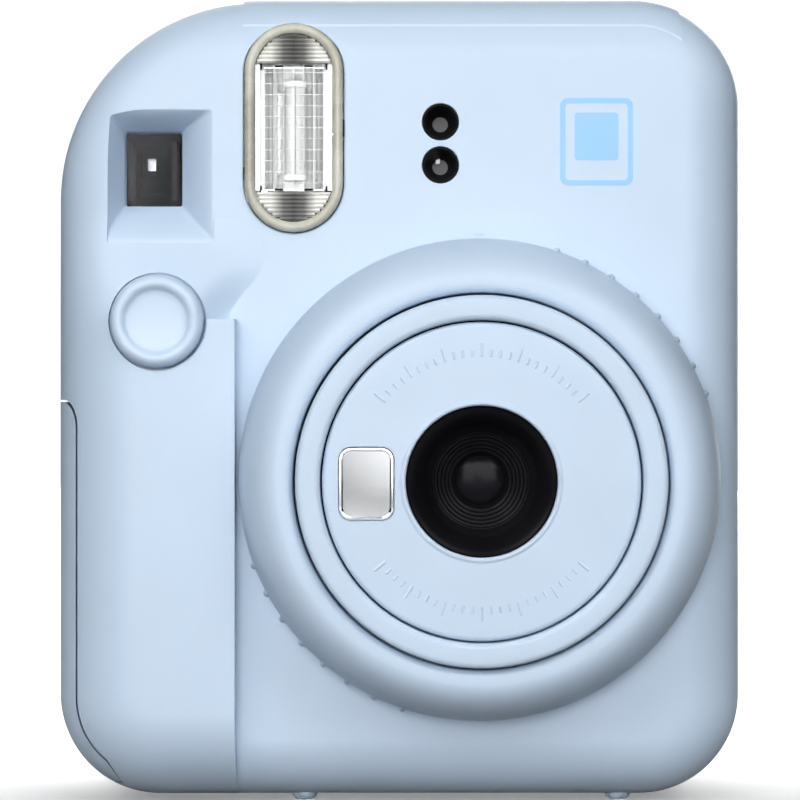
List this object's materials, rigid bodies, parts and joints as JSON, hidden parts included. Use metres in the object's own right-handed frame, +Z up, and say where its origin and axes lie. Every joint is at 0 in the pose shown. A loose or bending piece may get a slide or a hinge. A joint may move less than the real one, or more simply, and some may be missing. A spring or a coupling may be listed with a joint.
{
  "type": "instant camera",
  "caption": "Instant film camera with a twist-out lens barrel, flash, viewfinder, hinged film door and motor-driven film rollers.",
  "frame": {"origin": "on the ground under the middle of the overall box", "axes": "+X to the right when facing the lens, +Y from the lens towards the film door, +Z up"},
  "size_m": [0.104, 0.0666, 0.1226],
  "materials": {
    "shell": "matte pastel blue",
    "shell_light": "satin pastel blue",
    "dark": "matte dark",
    "grey_plastic": "satin dark grey",
    "frosted": "frosted",
    "clear": "clear",
    "mirror": "polished",
    "steel": "satin",
    "brass": "satin",
    "board": "solder mask",
    "gear": "natural nylon",
    "rubber": "matte",
    "film": "satin",
    "copper": "wound",
    "cell": "sleeve"
  },
  "bodies": {
    "case": {"front_cover": "shell", "rear_cover": "shell", "case_screws": "steel", "strap_lug": "steel", "button_switch": "dark", "flash_bezel": "frosted", "flash_window": "clear", "flash_reflector": "mirror", "flash_tube": "clear", "flash_capacitor": "dark", "sensor_sleeves": "dark", "light_sensors": "grey_plastic", "viewfinder_window": "clear", "viewfinder_tube": "dark", "viewfinder_objective": "clear", "viewfinder_eyepiece": "dark", "eyepiece_lens": "clear", "main_board": "board", "film_chamber": "dark", "film_pack": "dark", "film_stack": "film", "hinge_pin": "steel", "counter_window": "clear", "roller_bracket": "steel", "drive_motor": "steel", "battery_holder": "grey_plastic", "battery_contacts": "steel", "batteries": "cell"},
    "turn_ring": {"lens_turn_ring": "shell", "ring_retainer": "grey_plastic"},
    "barrel_outer": {"outer_barrel": "shell"},
    "barrel_face": {"face_barrel": "shell", "selfie_mirror": "mirror", "lens_hood": "dark", "lens_cell": "dark", "front_lens": "clear", "rear_lens": "clear", "shutter_plate": "grey_plastic", "shutter_coil": "copper"},
    "blade_left": {"shutter_blade_left": "grey_plastic"},
    "blade_right": {"shutter_blade_right": "grey_plastic"},
    "button": {"shutter_button": "shell_light"},
    "door": {"back_door": "shell", "pack_springs": "steel", "pack_window": "clear"},
    "latch": {"door_latch": "shell_light"},
    "claw": {"film_claw": "steel"},
    "dial": {"counter_dial": "film"},
    "flap": {"exit_flap": "dark"},
    "roller_drive": {"drive_roller": "rubber", "roller_gear": "gear"},
    "roller_pinch": {"pinch_roller": "steel"},
    "idler": {"idler_gear": "gear"},
    "pinion": {"motor_pinion": "brass"},
    "battery_lid": {"battery_cover": "shell"}
  },
  "joints": [
    {"name": "ring_turn", "type": "hinge", "parent": "case", "child": "turn_ring", "pos_m": [0.012, -0.025, 0.0494], "axis": [0, -1, 0], "range_deg": [0, 75]},
    {"name": "outer_barrel_slide", "type": "slide", "parent": "case", "child": "barrel_outer", "axis": [0, -1, 0], "range_m": [0, 0.012]},
    {"name": "face_barrel_slide", "type": "slide", "parent": "barrel_outer", "child": "barrel_face", "axis": [0, -1, 0], "range_m": [0, 0.004]},
    {"name": "blade_left_swing", "type": "hinge", "parent": "barrel_face", "child": "blade_left", "pos_m": [0.002, -0.0172, 0.0494], "axis": [0, 1, 0], "range_deg": [0, 40], "stiffness_Nm_per_rad": 0.00001, "springref_deg": -22.92},
    {"name": "blade_right_swing", "type": "hinge", "parent": "barrel_face", "child": "blade_right", "pos_m": [0.022, -0.0165, 0.0494], "axis": [0, 1, 0], "range_deg": [-40, 0]},
    {"name": "button_press", "type": "slide", "parent": "case", "child": "button", "axis": [0, 1, 0], "range_m": [0, 0.0014], "stiffness_N_per_m": 600, "springref_m": -0.001},
    {"name": "door_swing", "type": "hinge", "parent": "case", "child": "door", "pos_m": [-0.024, 0.0292, 0.05], "axis": [0, 0, 1], "range_deg": [0, 105]},
    {"name": "latch_slide", "type": "slide", "parent": "door", "child": "latch", "axis": [0, 0, 1], "range_m": [0, 0.0025], "stiffness_N_per_m": 300, "springref_m": -0.001},
    {"name": "claw_slide", "type": "slide", "parent": "case", "child": "claw", "axis": [0, 0, 1], "range_m": [0, 0.008]},
    {"name": "dial_turn", "type": "hinge", "parent": "case", "child": "dial", "pos_m": [-0.038, 0.0255, 0.071], "axis": [0, 1, 0], "range_deg": [0, 324]},
    {"name": "flap_swing", "type": "hinge", "parent": "case", "child": "flap", "pos_m": [0.012, 0.0074, 0.1198], "axis": [1, 0, 0], "range_deg": [0, 80], "stiffness_Nm_per_rad": 0.002, "springref_deg": -17.19},
    {"name": "drive_roller_spin", "type": "hinge", "parent": "case", "child": "roller_drive", "pos_m": [0.012, 0.01335, 0.1085], "axis": [1, 0, 0], "continuous": true},
    {"name": "pinch_roller_spin", "type": "hinge", "parent": "case", "child": "roller_pinch", "pos_m": [0.012, 0.00505, 0.1085], "axis": [1, 0, 0], "continuous": true},
    {"name": "idler_spin", "type": "hinge", "parent": "case", "child": "idler", "pos_m": [0.045, 0.00398, 0.10067], "axis": [1, 0, 0], "continuous": true},
    {"name": "pinion_spin", "type": "hinge", "parent": "case", "child": "pinion", "pos_m": [0.045, -0.004, 0.094], "axis": [1, 0, 0], "continuous": true},
    {"name": "battery_lid_slide", "type": "slide", "parent": "case", "child": "battery_lid", "axis": [-1, 0, 0], "range_m": [0, 0.03]}
  ],
  "couplings": [
    {"joint": "outer_barrel_slide", "follows": "ring_turn", "m_per_rad": 0.0091597},
    {"joint": "face_barrel_slide", "follows": "ring_turn", "m_per_rad": 0.003052},
    {"joint": "blade_right_swing", "follows": "blade_left_swing", "ratio": -1},
    {"joint": "pinch_roller_spin", "follows": "drive_roller_spin", "ratio": -1},
    {"joint": "idler_spin", "follows": "drive_roller_spin", "ratio": -0.66667},
    {"joint": "pinion_spin", "follows": "drive_roller_spin", "ratio": 1.6}
  ]
}
